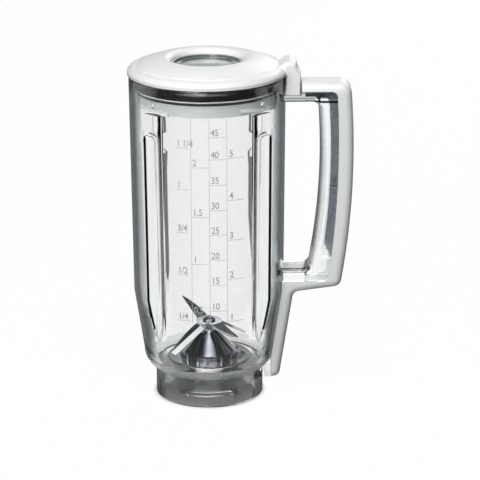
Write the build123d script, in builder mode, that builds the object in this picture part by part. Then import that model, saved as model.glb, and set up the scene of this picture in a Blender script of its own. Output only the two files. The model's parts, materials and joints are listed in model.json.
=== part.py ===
"""Blender jar with lid, knife insert and rotor, in millimetres with Z up.

The origin lies on the axis at the foot of the collar. The handle points along +X and
the measuring scale's side of the wall faces -Y.
"""
import os
from math import atan2, cos, degrees, radians, sin, sqrt

from build123d import *

os.makedirs("parts", exist_ok=True)

# Fits
RUN = 0.04
LOOSE = 0.3
SEAM = 0.15

# Jar wall
RIM_Z = 238.6
RIM_R = 55.6
RIM_ROUND = 1.2
WALL = 3.0
WALL_DRAFT = 1.6
SHOULDER_Z = 79.0
FOOT_Z = 34.0
FOOT_TAPER = 6.8
FOOT_ARC_R = 14.0
FLOOR_ARC_R = 8.0
SHOULDER_R = RIM_R - WALL_DRAFT
FOOT_R = SHOULDER_R - FOOT_TAPER

# Base collar and its bayonet
COLLAR_R = 38.8
COLLAR_WALL = 3.0
COLLAR_ROUND = 0.8
SEAT_Z = 21.5
SEAT_W = 2.4
LEDGE_Z = 7.5
LEDGE_H = 3.0
LEDGE_IN = 2.4
LEDGE_SPAN_ANGLE = 48.0
STOP_H = 10.0
STOP_SPAN_ANGLE = 4.0
BAYONET_COUNT = 3
BAYONET_START_ANGLE = 244.0
FLANGE_ROOM = 0.4
COLLAR_BORE_R = COLLAR_R - COLLAR_WALL
FLANGE_R = COLLAR_BORE_R - LEDGE_IN - FLANGE_ROOM
FLOOR_HOLE_R = FLANGE_R - SEAT_W

# Flutes in the wall
FLUTE_R = 10.5
FLUTE_DEPTH = 4.4
FLUTE_ROUND = 1.4
FLUTE_DROP = 33.1
FLUTE_ANGLE = 45.3
FLUTE_TILT_ANGLE = 0.5
RIB_GAP = 1.0
FLUTE_RISE = sqrt(FLUTE_R**2 - (FLUTE_R - FLUTE_DEPTH) ** 2)
FLUTE_END_Z = RIM_Z - FLUTE_DROP - FLUTE_RISE

# Handle, seen from the side
HANDLE_W = 25.0
TOP_DROP = 6.1
TOP_SHELL = 5.8
TOP_CLEAR = 8.1
TOP_FINGER_WALL = 4.6
LOW_RISE = 3.0
LOW_SHELL = 4.4
LOW_CLEAR = 9.1
LOW_FINGER_WALL = 5.0
GRIP_OUT_REACH = (45.6, 47.4, 39.2)
GRIP_SPLIT_REACH = (35.8, 36.5, 29.8)
GRIP_FINGER_REACH = (22.9, 23.8, 16.2)
GRIP_FINGER_WALL = 7.2
FINGER_CORNER = 5.0
FINGER_ROUND = 5.6
CHANNEL_WALL = 2.6
CHANNEL_CORNER = 4.0
CHANNEL_RIB_T = 1.2
CHANNEL_RIB_W = 3.0
CHANNEL_RIB_DROPS = (6.6, 62.0, 115.0)
TOP_Z = RIM_Z - TOP_DROP
TOP_SPLIT_Z = TOP_Z - TOP_SHELL
TOP_FINGER_Z = TOP_SPLIT_Z - TOP_CLEAR
LOW_Z = SHOULDER_Z + LOW_RISE
LOW_SPLIT_Z = LOW_Z + LOW_SHELL
LOW_FINGER_Z = LOW_SPLIT_Z + LOW_CLEAR
GRIP_MID_Z = (TOP_FINGER_Z + LOW_FINGER_Z) / 2
GRIP_OUT = tuple(RIM_R + reach for reach in GRIP_OUT_REACH)
GRIP_SPLIT = tuple(RIM_R + reach for reach in GRIP_SPLIT_REACH)
GRIP_FINGER = tuple(RIM_R + reach for reach in GRIP_FINGER_REACH)

# Handle cover
COVER_W = 26.4
COVER_WALL = 2.4
COVER_ROUND = 5.6
COVER_TOP_CORNER = 8.0
COVER_LOW_CORNER = 6.0
COVER_BEND = 5.0
COVER_FOOT_CORNER = 5.0
TAIL_TOP_OUT = 7.0
TAIL_TOP_DROP = 1.5
TAIL_FOOT_OUT = 11.8
TAIL_FOOT_Z = 12.6
TAIL_SPLIT_OUT = 6.2
TAIL_WEB_H = 17.4
TAIL_NOTCH_W = 1.4
TAIL_NOTCH_H = 5.5
TAIL_TOP = (SHOULDER_R + TAIL_TOP_OUT, SHOULDER_Z - TAIL_TOP_DROP)
TAIL_FOOT = (COLLAR_R + TAIL_FOOT_OUT, TAIL_FOOT_Z)
TAIL_SPLIT_X = COLLAR_R + TAIL_SPLIT_OUT

# Lid
LID_OVERHANG = 0.9
LID_EDGE_H = 2.0
LID_EDGE_ROUND = 1.6
LID_STEP_IN = 7.1
LID_STEP_H = 6.1
LID_STEP = 0.5
CREST_W = 5.0
CREST_H = 11.3
CREST_BULGE = 0.9
LID_WALL = 2.4
PLUG_GAP = 3.0
PLUG_DEPTH = 20.1
PLUG_WALL = 2.4
SEAL_BAND_H = 8.9
BEAD_H = 1.4
BEAD_OUT = 1.6
SEAL_BAND_T = 1.4
SEAL_LIP_H = 1.6
LID_R = RIM_R + LID_OVERHANG
LID_Z = RIM_Z + LOOSE
LID_STEP_R = LID_R - LID_STEP_IN
LID_STEP_Z = LID_Z + LID_STEP_H
CREST_Z = LID_Z + CREST_H
PLUG_R = RIM_R - WALL - PLUG_GAP
PLUG_Z = RIM_Z - PLUG_DEPTH
SEAL_BAND_Z = LID_Z - SEAL_BAND_H
SEAL_LIP = PLUG_GAP - SEAL_BAND_T - LOOSE

# Lid nubs on the wall and bars on the plug
NUB_R = 2.0
NUB_DROP = 14.8
NUB_ROOM = 1.1
NUB_ANGLE = 47.5
BAR_H = 2.0
BAR_OUT = 2.0
BAR_LEAD_ANGLE = 20.0
BAR_SPAN_ANGLE = 36.0
BAR_SLOPE_ANGLE = 5.6
NUB_Z = RIM_Z - NUB_DROP
NUB_IN = PLUG_GAP - NUB_ROOM

# Nose of the lid over the handle's root
NOSE_GAP = 1.3
NOSE_T = 9.1
NOSE_W = 24.0
NOSE_DROP = 13.8
NOSE_SHOULDER_RISE = 0.4
NOSE_RISE = 9.8
NOSE_ROOT_IN = 6.5
NOSE_HUMP = ((11.0, 0.6), (8.0, 0.0), (3.6, 1.0), (2.0, 6.4))
NOSE_TOP_ROUND = 1.4
NOSE_ROUND = 3.0
ROOT_GAP = 0.6
NOSE_IN_R = RIM_R + NOSE_GAP
NOSE_OUT_R = NOSE_IN_R + NOSE_T
NOSE_Z = RIM_Z - NOSE_DROP
NOSE_TOP_Z = RIM_Z + NOSE_RISE
NOSE_ROOT_R = LID_R - NOSE_ROOT_IN
ROOT_X = NOSE_OUT_R + ROOT_GAP
ROOT_Z = NOSE_Z - ROOT_GAP

# Filler opening and cap
CAP_SEAT_RISE = 4.5
CAP_RIM_R = 25.2
CAP_RIM_H = 2.8
CAP_RIM_W = 1.8
CAP_PLATE_RISE = 0.6
CAP_SKIRT_R = 22.4
CAP_SKIRT_H = 17.4
CAP_WALL = 1.8
NECK_WALL = 2.0
NECK_H = 11.4
CAP_SEAT_Z = LID_Z + CAP_SEAT_RISE
CAP_RIM_Z = CAP_SEAT_Z + CAP_RIM_H
CAP_PLATE_Z = CAP_SEAT_Z + CAP_PLATE_RISE
CAP_SKIRT_Z = CAP_SEAT_Z - CAP_SKIRT_H
NECK_Z = CAP_SEAT_Z - NECK_H

# Foot of the rotor
COUPLING_R = 12.8
COUPLING_H = 12.5
COUPLING_ROOM = 1.5
DOG_R = 8.0
DOG_DEPTH = 6.5
DOG_SLOTS = 4
DOG_SLOT_W = 2.8
DOG_SKIN = 2.0
INSERT_R = 5.0
STUD_R = 2.5
WASHER_T = 1.0
WASHER_R = 7.4
CLIP_T = 1.2
CLIP_R = 6.6
CLIP_GAP = 4.0
GROOVE_R = 3.2

# Knife carrier
CARRIER_RISE = 1.0
CARRIER_PLATE_T = 3.0
CARRIER_SEAL_H = 1.6
CARRIER_WALL = 2.6
FLANGE_T = 2.6
LUG_ROOM = 0.5
LUG_H = 3.4
LUG_SPAN_ANGLE = 30.0
LUG_SLACK_ANGLE = 1.0
WING_COUNT = 4
WING_T = 2.4
WING_H = 19.0
WING_ROOM = 3.7
HUB_R = 8.2
HUB_DROP = 8.0
HUB_RISE = 11.0
CARRIER_TOP_Z = FOOT_Z - FLOOR_ARC_R + CARRIER_RISE
FLANGE_TOP_Z = SEAT_Z - LOOSE - CARRIER_SEAL_H
FLANGE_Z = FLANGE_TOP_Z - FLANGE_T
LUG_R = COLLAR_BORE_R - LUG_ROOM
WING_IN_R = COUPLING_R + WING_ROOM
HUB_FOOT_Z = CARRIER_TOP_Z - HUB_DROP
HUB_TOP_Z = CARRIER_TOP_Z + HUB_RISE

# Bearing and cone
SHAFT_R = 4.0
BUSH_R = 6.2
BUSH_H = 8.0
SHAFT_SEAL_R = 6.8
SHAFT_SEAL_H = 2.4
CONE_H = 18.6
CONE_TOP_R = 6.6
CONE_FOOT_R = 19.2
CONE_FOOT_H = 5.0
CONE_SKIRT_W = 2.2
CONE_WALL = 1.2
SCALLOP_COUNT = 16
SCALLOP_R = 2.0
CONE_TOP_Z = CARRIER_TOP_Z + CONE_H
CONE_FOOT_Z = CARRIER_TOP_Z + CONE_FOOT_H
CONE_SKIRT_R = CONE_FOOT_R + CONE_SKIRT_W

# Blades
BLADE_LIFT = 3.6
SEAT_WASHER_R = 7.2
BLADE_T = 1.8
BLADE_HUB_R = 9.2
STEM_R = 2.6
ARM_W = 9.0
EDGE_W = 3.8
EDGE_T = 1.5
LOWER_REACHES = (36.0, 37.0)
LOWER_TIP_W = 4.0
LOWER_ARM_ANGLES = (222.0, 43.0)
LOWER_TILT_ANGLES = (28.0, 30.0)
UPPER_REACHES = (31.0, 30.5)
UPPER_TIP_W = 0.8
UPPER_ARM_ANGLES = (305.5, 125.5)
UPPER_TILT_ANGLES = (12.0, -27.5)
NUT_R = 4.4
NUT_HEX_H = 1.4
NUT_DOME_R = 3.4
NUT_DOME_H = 1.2
SHOULDER_TOP_Z = CONE_TOP_Z + BLADE_LIFT


def ring(outer_r, inner_r, z, height):
    """A plain ring standing on height z."""
    with BuildPart() as made:
        with BuildSketch(Plane.XY.offset(z)):
            Circle(outer_r)
            Circle(inner_r, mode=Mode.SUBTRACT)
        extrude(amount=height)
    return made.part


def sector(outer_r, inner_r, start, span, z, height):
    """A piece of a ring from the angle start over span degrees."""
    with BuildPart() as made:
        with BuildSketch(Plane.XY.offset(z)):
            with BuildLine():
                CenterArc((0, 0), outer_r, start, span)
                CenterArc((0, 0), inner_r, start, span)
                for angle in (start, start + span):
                    PolarLine(
                        (inner_r * cos(radians(angle)), inner_r * sin(radians(angle))),
                        outer_r - inner_r,
                        angle,
                    )
            make_face()
        extrude(amount=height)
    return made.part


def turned(points):
    """A solid of revolution from a list of (radius, height) points."""
    with BuildPart() as made:
        with BuildSketch(Plane.XZ):
            with BuildLine():
                Polyline(*points, close=True)
            make_face()
        revolve(axis=Axis.Z)
    return made.part


def rod(radius, height):
    """A cylinder standing on the plane Z = 0."""
    with BuildPart() as made:
        Cylinder(radius, height, align=(Align.CENTER, Align.CENTER, Align.MIN))
    return made.part


def block(length, width, height):
    """A box from X = 0 and Z = 0, centred in Y."""
    with BuildPart() as made:
        Box(length, width, height, align=(Align.MIN, Align.CENTER, Align.MIN))
    return made.part


def wall_r(z):
    """The jar's outer radius at height z, above the foot arc."""
    if z >= SHOULDER_Z:
        return SHOULDER_R + (RIM_R - SHOULDER_R) * (z - SHOULDER_Z) / (RIM_Z - SHOULDER_Z)
    return FOOT_R + (SHOULDER_R - FOOT_R) * (z - FOOT_Z) / (SHOULDER_Z - FOOT_Z)


def jar_outside(gap):
    """The jar's outer form without handle, grown by gap."""
    arc_in = FOOT_R - FOOT_ARC_R
    foot_r = FOOT_ARC_R + gap
    collar = COLLAR_R + gap
    low_z = FOOT_Z - sqrt(foot_r**2 - (collar - arc_in) ** 2)
    mid = radians(-0.5 * degrees(atan2(FOOT_Z - low_z, collar - arc_in)))
    with BuildPart() as made:
        with BuildSketch(Plane.XZ):
            with BuildLine():
                Polyline((0, RIM_Z + gap), (RIM_R + gap, RIM_Z + gap), (SHOULDER_R + gap, SHOULDER_Z))
                Line((SHOULDER_R + gap, SHOULDER_Z), (FOOT_R + gap, FOOT_Z))
                ThreePointArc(
                    (FOOT_R + gap, FOOT_Z),
                    (arc_in + foot_r * cos(mid), FOOT_Z + foot_r * sin(mid)),
                    (collar, low_z),
                )
                Polyline((collar, low_z), (collar, -gap), (0, -gap), (0, RIM_Z + gap))
            make_face()
        revolve(axis=Axis.Z)
    return made.part


def flute(skin, end_z, rounded):
    """One flute at angle 0, grown by skin: a rod that leans with the wall, with a flat or ball end at end_z."""
    reach = wall_r(end_z) - FLUTE_DEPTH + FLUTE_R
    with BuildPart() as made:
        Cylinder(FLUTE_R + skin, end_z, align=(Align.CENTER, Align.CENTER, Align.MAX))
        if rounded:
            Sphere(FLUTE_R + skin)
    return Pos(reach, 0, end_z) * Rot(Y=FLUTE_TILT_ANGLE) * made.part


def side_points(angle):
    """The four angles that lie the same way off the -Y and +Y sides."""
    return [270 - angle, 270 + angle, 90 - angle, 90 + angle]


def flute_edges(builder):
    """The edges between the flutes and the wall round them."""
    bent = builder.edges().filter_by(lambda e: e.geom_type not in (GeomType.CIRCLE, GeomType.LINE))
    return [e for e in bent if sqrt(e.center().X ** 2 + e.center().Y ** 2) > COLLAR_R]


def arm_side(top_z, low_z, grip, x_in, corner):
    """A face between the jar and a line that runs along the top arm, the grip and the low arm."""
    with BuildSketch(Plane.XZ) as made:
        with BuildLine():
            Line((x_in, top_z), (grip[0], top_z))
            ThreePointArc((grip[0], top_z), (grip[1], GRIP_MID_Z), (grip[2], low_z))
            Polyline((grip[2], low_z), (x_in, low_z), (x_in, top_z))
        make_face()
        fillet([v for v in made.vertices() if v.X > x_in + 1], corner)
    return made.sketch


def inset(grip, step):
    """A grip line moved inwards by step."""
    return tuple(x - step for x in grip)


# Clear jar
arm_in_x = SHOULDER_R - WALL / 2
arm_out = arm_side(TOP_SPLIT_Z, LOW_SPLIT_Z, GRIP_SPLIT, arm_in_x, CHANNEL_CORNER)
arm_finger = arm_side(TOP_FINGER_Z, LOW_FINGER_Z, GRIP_FINGER, arm_in_x - WALL, FINGER_CORNER)
core_out = arm_side(
    TOP_Z - COVER_WALL,
    LOW_Z + COVER_WALL,
    inset(GRIP_OUT, COVER_WALL),
    ROOT_X + COVER_WALL,
    COVER_TOP_CORNER - COVER_WALL,
)
core_finger = arm_side(
    TOP_FINGER_Z + TOP_FINGER_WALL,
    LOW_FINGER_Z - LOW_FINGER_WALL,
    inset(GRIP_FINGER, -GRIP_FINGER_WALL),
    arm_in_x,
    FINGER_CORNER,
)
CORE_W = HANDLE_W - 2 * CHANNEL_WALL

with BuildPart() as handle_core:
    extrude(core_out, amount=CORE_W / 2, both=True)
    extrude(core_finger, amount=HANDLE_W, both=True, mode=Mode.SUBTRACT)

with BuildPart() as channel_ribs:
    for drop in CHANNEL_RIB_DROPS:
        for side in (-1, 1):
            with Locations((0, side * (CORE_W - CHANNEL_RIB_W) / 2, TOP_FINGER_Z - drop)):
                Box(
                    GRIP_OUT[1],
                    CHANNEL_RIB_W,
                    CHANNEL_RIB_T,
                    align=(Align.MIN, Align.CENTER, Align.CENTER),
                )
    extrude(arm_out, amount=HANDLE_W, both=True, mode=Mode.INTERSECT)
    extrude(core_finger, amount=HANDLE_W, both=True, mode=Mode.SUBTRACT)

with BuildPart() as handle_channel:
    extrude(arm_out, amount=HANDLE_W / 2, both=True)
    extrude(arm_finger, amount=HANDLE_W, both=True, mode=Mode.SUBTRACT)
    sides = handle_channel.edges().filter_by(lambda e: abs(abs(e.center().Y) - HANDLE_W / 2) < 0.01)
    finger = [e for e in sides if arm_in_x + 1 < e.center().X < GRIP_FINGER[1] + 1]
    fillet([e for e in finger if LOW_FINGER_Z - 1 < e.center().Z < TOP_FINGER_Z + 1], FINGER_ROUND)
    add(handle_core.part, mode=Mode.SUBTRACT)
    with Locations((ROOT_X, 0, ROOT_Z)):
        Box(
            ROOT_X,
            HANDLE_W,
            TOP_Z - ROOT_Z,
            align=(Align.MAX, Align.CENTER, Align.MIN),
            mode=Mode.SUBTRACT,
        )
    add(channel_ribs.part)

with BuildPart() as cavity:
    add(turned([
        (0, RIM_Z + 1),
        (RIM_R - WALL, RIM_Z + 1),
        (RIM_R - WALL, RIM_Z),
        (SHOULDER_R - WALL, SHOULDER_Z),
        (FOOT_R - WALL, FOOT_Z),
        (FOOT_R - WALL - 1.2, FOOT_Z - 4.5),
        (FOOT_R - WALL - 4.4, FOOT_Z - 7.4),
        (FLOOR_HOLE_R, FOOT_Z - FLOOR_ARC_R),
        (FLOOR_HOLE_R, SEAT_Z),
        (COLLAR_BORE_R, SEAT_Z),
        (COLLAR_BORE_R, -1),
        (0, -1),
    ]))
    for angle in side_points(FLUTE_ANGLE):
        add(Rot(Z=angle) * flute(WALL, PLUG_Z - RIB_GAP, False), mode=Mode.SUBTRACT)

with BuildSketch(Plane.XZ) as tail_core:
    with BuildLine():
        Polyline(
            (COLLAR_BORE_R, LOW_SPLIT_Z),
            (TAIL_TOP[0] - COVER_WALL, LOW_SPLIT_Z),
            (TAIL_TOP[0] - COVER_WALL, TAIL_TOP[1]),
            (TAIL_FOOT[0] - COVER_WALL, TAIL_FOOT[1] + COVER_WALL),
            (COLLAR_BORE_R, TAIL_FOOT[1] + COVER_WALL),
            close=True,
        )
    make_face()

with BuildPart() as tail_web:
    with Locations((COLLAR_BORE_R, 0, TAIL_FOOT[1])):
        Box(
            TAIL_SPLIT_X - SEAM - COLLAR_BORE_R,
            HANDLE_W,
            TAIL_WEB_H,
            align=(Align.MIN, Align.CENTER, Align.MIN),
        )
    extrude(tail_core.sketch, amount=CORE_W / 2, both=True, mode=Mode.SUBTRACT)
    with Locations((COLLAR_R, 0, TAIL_FOOT[1])):
        Box(
            TAIL_NOTCH_W,
            HANDLE_W,
            TAIL_NOTCH_H,
            align=(Align.MIN, Align.CENTER, Align.MIN),
            mode=Mode.SUBTRACT,
        )

with BuildPart() as jar:
    add(jar_outside(0))
    for angle in side_points(FLUTE_ANGLE):
        add(Rot(Z=angle) * flute(0, FLUTE_END_Z, True), mode=Mode.SUBTRACT)
    fillet(flute_edges(jar), FLUTE_ROUND)
    add(handle_channel.part)
    add(tail_web.part)
    add(cavity.part, mode=Mode.SUBTRACT)
    rim = jar.edges().filter_by(lambda e: abs(e.center().Z - RIM_Z) < 0.01)
    fillet(rim, RIM_ROUND)
    foot = jar.edges().filter_by(lambda e: abs(e.center().Z) < 0.01)
    fillet(foot, COLLAR_ROUND)
    for angle in side_points(NUB_ANGLE):
        nub_r = wall_r(NUB_Z) - WALL - NUB_IN
        add(Rot(Z=angle) * Pos(nub_r, 0, NUB_Z) * Rot(Y=90) * rod(NUB_R, NUB_IN + WALL / 2))
    for k in range(BAYONET_COUNT):
        start = BAYONET_START_ANGLE + k * 360 / BAYONET_COUNT
        inner = COLLAR_BORE_R - LEDGE_IN
        outer = (COLLAR_BORE_R + COLLAR_R) / 2
        add(sector(outer, inner, start, STOP_SPAN_ANGLE, LEDGE_Z, STOP_H))
        add(sector(outer, inner, start + STOP_SPAN_ANGLE, LEDGE_SPAN_ANGLE, LEDGE_Z, LEDGE_H))
jar.part.label = "jar"
export_step(jar.part, "parts/jar.step")

# White handle cover
arm_room = arm_side(
    TOP_SPLIT_Z + SEAM,
    LOW_SPLIT_Z - SEAM,
    inset(GRIP_SPLIT, -SEAM),
    arm_in_x,
    CHANNEL_CORNER + SEAM,
)

with BuildSketch(Plane.XZ) as cover_side:
    with BuildLine():
        Polyline((TAIL_SPLIT_X, TAIL_FOOT[1]), (TAIL_SPLIT_X, TOP_Z), (GRIP_OUT[0], TOP_Z))
        ThreePointArc((GRIP_OUT[0], TOP_Z), (GRIP_OUT[1], GRIP_MID_Z), (GRIP_OUT[2], LOW_Z))
        Polyline((GRIP_OUT[2], LOW_Z), TAIL_TOP, TAIL_FOOT, (TAIL_SPLIT_X, TAIL_FOOT[1]))
    make_face()
    for x, z, corner in (
        (GRIP_OUT[0], TOP_Z, COVER_TOP_CORNER),
        (GRIP_OUT[2], LOW_Z, COVER_LOW_CORNER),
        (*TAIL_TOP, COVER_BEND),
        (*TAIL_FOOT, COVER_FOOT_CORNER),
    ):
        fillet(cover_side.vertices().sort_by_distance((x, z, 0))[0], corner)

with BuildPart() as handle_cover:
    extrude(cover_side.sketch, amount=COVER_W / 2, both=True)
    side = handle_cover.edges().filter_by(lambda e: abs(abs(e.center().Y) - COVER_W / 2) < 0.01)
    outer = [e for e in side if e.center().X > TAIL_FOOT[0] - COVER_FOOT_CORNER]
    fillet([e for e in outer if e.center().Z > TAIL_FOOT[1] + 1], COVER_ROUND)
    extrude(arm_room, amount=COVER_W, both=True, mode=Mode.SUBTRACT)
    add(handle_core.part, mode=Mode.SUBTRACT)
    extrude(tail_core.sketch, amount=CORE_W / 2, both=True, mode=Mode.SUBTRACT)
    add(jar_outside(SEAM), mode=Mode.SUBTRACT)
    with Locations((ROOT_X, 0, TOP_FINGER_Z)):
        Box(ROOT_X, 2 * COVER_W, RIM_Z, align=(Align.MAX, Align.CENTER, Align.MIN), mode=Mode.SUBTRACT)
handle_cover.part.label = "handle_cover"
export_step(handle_cover.part, "parts/handle_cover.step")

# Lid and what sits on it
cap_bore_r = CAP_RIM_R + LOOSE
neck_r = CAP_SKIRT_R + LOOSE
crest_r = cap_bore_r + CREST_W

with BuildPart() as lid:
    with BuildSketch(Plane.XZ):
        with BuildLine():
            Polyline(
                (PLUG_R, PLUG_Z),
                (PLUG_R, SEAL_BAND_Z - BEAD_H - BEAD_OUT),
                (PLUG_R + BEAD_OUT, SEAL_BAND_Z - BEAD_H),
                (PLUG_R + BEAD_OUT, SEAL_BAND_Z),
                (PLUG_R, SEAL_BAND_Z),
                (PLUG_R, LID_Z),
                (LID_R, LID_Z),
                (LID_R, LID_Z + LID_EDGE_H),
            )
            ThreePointArc(
                (LID_R, LID_Z + LID_EDGE_H),
                (LID_R - LID_EDGE_ROUND, LID_Z + LID_EDGE_H + 1.25 * LID_EDGE_ROUND),
                (LID_STEP_R + LID_STEP, LID_STEP_Z - LID_STEP),
            )
            Line((LID_STEP_R + LID_STEP, LID_STEP_Z - LID_STEP), (LID_STEP_R, LID_STEP_Z))
            ThreePointArc(
                (LID_STEP_R, LID_STEP_Z),
                (0.5 * (LID_STEP_R + crest_r), 0.5 * (LID_STEP_Z + CREST_Z) + CREST_BULGE),
                (crest_r, CREST_Z),
            )
            ThreePointArc(
                (crest_r, CREST_Z),
                (cap_bore_r + 0.4 * CREST_W, CREST_Z - 0.2 * CREST_W),
                (cap_bore_r, CAP_RIM_Z + LOOSE),
            )
            Polyline(
                (cap_bore_r, CAP_RIM_Z + LOOSE),
                (cap_bore_r, CAP_SEAT_Z),
                (neck_r, CAP_SEAT_Z),
                (neck_r, NECK_Z),
                (neck_r + NECK_WALL, NECK_Z),
                (neck_r + NECK_WALL, CAP_SEAT_Z - LID_WALL),
                (cap_bore_r + LID_WALL, CAP_SEAT_Z - LID_WALL),
                (crest_r, CREST_Z - LID_WALL),
                (LID_STEP_R - LID_WALL, LID_STEP_Z - LID_WALL),
                (PLUG_R - PLUG_WALL, LID_Z + LID_EDGE_H),
                (PLUG_R - PLUG_WALL, PLUG_Z),
                (PLUG_R, PLUG_Z),
            )
        make_face()
    revolve(axis=Axis.Z)
    for angle in side_points(NUB_ANGLE):
        bar_z = NUB_Z - NUB_R - LOOSE - BAR_H
        lean = Rot(Z=angle) * Pos(0, 0, bar_z) * Rot(X=-BAR_SLOPE_ANGLE)
        bar = sector(
            PLUG_R + BAR_OUT,
            PLUG_R - PLUG_WALL / 2,
            angle - BAR_LEAD_ANGLE,
            BAR_SPAN_ANGLE,
            PLUG_Z - BAR_H,
            PLUG_DEPTH / 2,
        )
        add(bar & (lean * block(2 * PLUG_R, 2 * PLUG_R, BAR_H)))
    with BuildPart(mode=Mode.PRIVATE) as nose:
        with BuildSketch(Plane.XZ):
            with BuildLine():
                Polyline(
                    (NOSE_OUT_R + 1, NOSE_Z),
                    (NOSE_ROOT_R, NOSE_Z),
                    (NOSE_ROOT_R, LID_STEP_Z - 1),
                    *[(NOSE_OUT_R - step, NOSE_TOP_Z - drop) for step, drop in NOSE_HUMP],
                    (NOSE_OUT_R + 1, RIM_Z + NOSE_SHOULDER_RISE),
                    close=True,
                )
            face = make_face()
            tops = face.vertices().filter_by(lambda v: v.Y > NOSE_TOP_Z - NOSE_TOP_ROUND)
            fillet(tops, NOSE_TOP_ROUND)
        extrude(amount=NOSE_W / 2, both=True)
        side = nose.edges().filter_by(lambda e: abs(abs(e.center().Y) - NOSE_W / 2) < 0.01)
        fillet([e for e in side if e.center().Z > RIM_Z + NOSE_SHOULDER_RISE], NOSE_ROUND)
        add(Pos(0, 0, NOSE_Z) * rod(NOSE_OUT_R, 2 * NOSE_DROP + NOSE_RISE), mode=Mode.INTERSECT)
        add(Pos(0, 0, NOSE_Z) * rod(NOSE_IN_R, LID_Z - NOSE_Z), mode=Mode.SUBTRACT)
    add(nose.part)
lid.part.label = "lid"
export_step(lid.part, "parts/lid.step")

seal_r = PLUG_R + SEAL_BAND_T
lip_r = seal_r + SEAL_LIP
lid_seal_points = [(PLUG_R, LID_Z), (PLUG_R, SEAL_BAND_Z), (seal_r, SEAL_BAND_Z)]
for low in (SEAL_BAND_Z + SEAL_LIP_H, LID_Z - 2 * SEAL_LIP_H):
    lid_seal_points += [(seal_r, low - SEAL_LIP_H / 2), (lip_r, low), (lip_r, low + SEAL_LIP_H / 2)]
    lid_seal_points += [(seal_r, low + SEAL_LIP_H)]
lid_seal_points += [(seal_r, LID_Z)]
with BuildPart() as lid_seal:
    add(turned(lid_seal_points))
lid_seal.part.label = "lid_seal"
export_step(lid_seal.part, "parts/lid_seal.step")

with BuildPart() as filler_cap:
    add(turned([
        (0, CAP_PLATE_Z),
        (CAP_RIM_R - CAP_RIM_W, CAP_PLATE_Z),
        (CAP_RIM_R - CAP_RIM_W, CAP_RIM_Z),
        (CAP_RIM_R, CAP_RIM_Z),
        (CAP_RIM_R, CAP_SEAT_Z),
        (CAP_SKIRT_R, CAP_SEAT_Z),
        (CAP_SKIRT_R, CAP_SKIRT_Z),
        (CAP_SKIRT_R - CAP_WALL, CAP_SKIRT_Z),
        (CAP_SKIRT_R - CAP_WALL, CAP_PLATE_Z - CAP_WALL),
        (0, CAP_PLATE_Z - CAP_WALL),
    ]))
    fillet(filler_cap.edges().filter_by(GeomType.CIRCLE).group_by(Axis.Z)[-1], CAP_RIM_W / 3)
filler_cap.part.label = "filler_cap"
export_step(filler_cap.part, "parts/filler_cap.step")

# Knife insert
disc_r = FLOOR_HOLE_R - LOOSE
disc_in_r = disc_r - CARRIER_WALL
skirt_r = COLLAR_BORE_R - LEDGE_IN - 2 * LOOSE
lug_z = LEDGE_Z + LEDGE_H + LOOSE
plate_z = CARRIER_TOP_Z - CARRIER_PLATE_T

with BuildPart() as knife_carrier:
    add(turned([
        (BUSH_R, HUB_FOOT_Z),
        (HUB_R, HUB_FOOT_Z),
        (HUB_R, plate_z),
        (disc_in_r, plate_z),
        (disc_in_r, FLANGE_Z),
        (skirt_r - CARRIER_WALL, FLANGE_Z),
        (skirt_r - CARRIER_WALL, lug_z),
        (skirt_r, lug_z),
        (skirt_r, FLANGE_Z),
        (FLANGE_R, FLANGE_Z),
        (FLANGE_R, FLANGE_TOP_Z),
        (disc_r, FLANGE_TOP_Z),
        (disc_r, CARRIER_TOP_Z),
        (HUB_R, CARRIER_TOP_Z),
        (HUB_R, HUB_TOP_Z),
        (BUSH_R, HUB_TOP_Z),
    ]))
    for k in range(BAYONET_COUNT):
        start = BAYONET_START_ANGLE + STOP_SPAN_ANGLE + LUG_SLACK_ANGLE + k * 360 / BAYONET_COUNT
        add(sector(LUG_R, skirt_r - CARRIER_WALL / 2, start, LUG_SPAN_ANGLE, lug_z, LUG_H))
    for k in range(WING_COUNT):
        wing_l = disc_in_r + CARRIER_WALL / 2 - WING_IN_R
        wing = block(wing_l, WING_T, WING_H + CARRIER_PLATE_T / 2)
        add(Rot(Z=45 + k * 360 / WING_COUNT) * Pos(WING_IN_R, 0, plate_z - WING_H) * wing)
knife_carrier.part.label = "knife_carrier"
export_step(knife_carrier.part, "parts/knife_carrier.step")

with BuildPart() as carrier_seal:
    add(ring(FLANGE_R, disc_r, FLANGE_TOP_Z, CARRIER_SEAL_H))
carrier_seal.part.label = "carrier_seal"
export_step(carrier_seal.part, "parts/carrier_seal.step")

cone_hole_r = SHAFT_R + 2 * LOOSE
with BuildPart() as hub_cone:
    add(turned([
        (cone_hole_r, CONE_TOP_Z),
        (CONE_TOP_R, CONE_TOP_Z),
        (CONE_FOOT_R, CONE_FOOT_Z),
        (CONE_SKIRT_R, CONE_FOOT_Z - CONE_WALL / 2),
        (CONE_SKIRT_R, CARRIER_TOP_Z),
        (CONE_FOOT_R - CONE_WALL, CARRIER_TOP_Z),
        (CONE_FOOT_R - CONE_WALL, CONE_FOOT_Z - CONE_WALL),
        (CONE_TOP_R - CONE_WALL, CONE_TOP_Z - 1.6 * CONE_WALL),
        (cone_hole_r, CONE_TOP_Z - 1.6 * CONE_WALL),
    ]))
    with PolarLocations(CONE_SKIRT_R + SCALLOP_R / 2, SCALLOP_COUNT):
        Cylinder(SCALLOP_R, 3 * CONE_FOOT_Z, mode=Mode.SUBTRACT)
hub_cone.part.label = "hub_cone"
export_step(hub_cone.part, "parts/hub_cone.step")

with BuildPart() as lower_bush:
    add(ring(BUSH_R, SHAFT_R + RUN, HUB_FOOT_Z, BUSH_H))
lower_bush.part.label = "lower_bush"
export_step(lower_bush.part, "parts/lower_bush.step")

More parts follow.
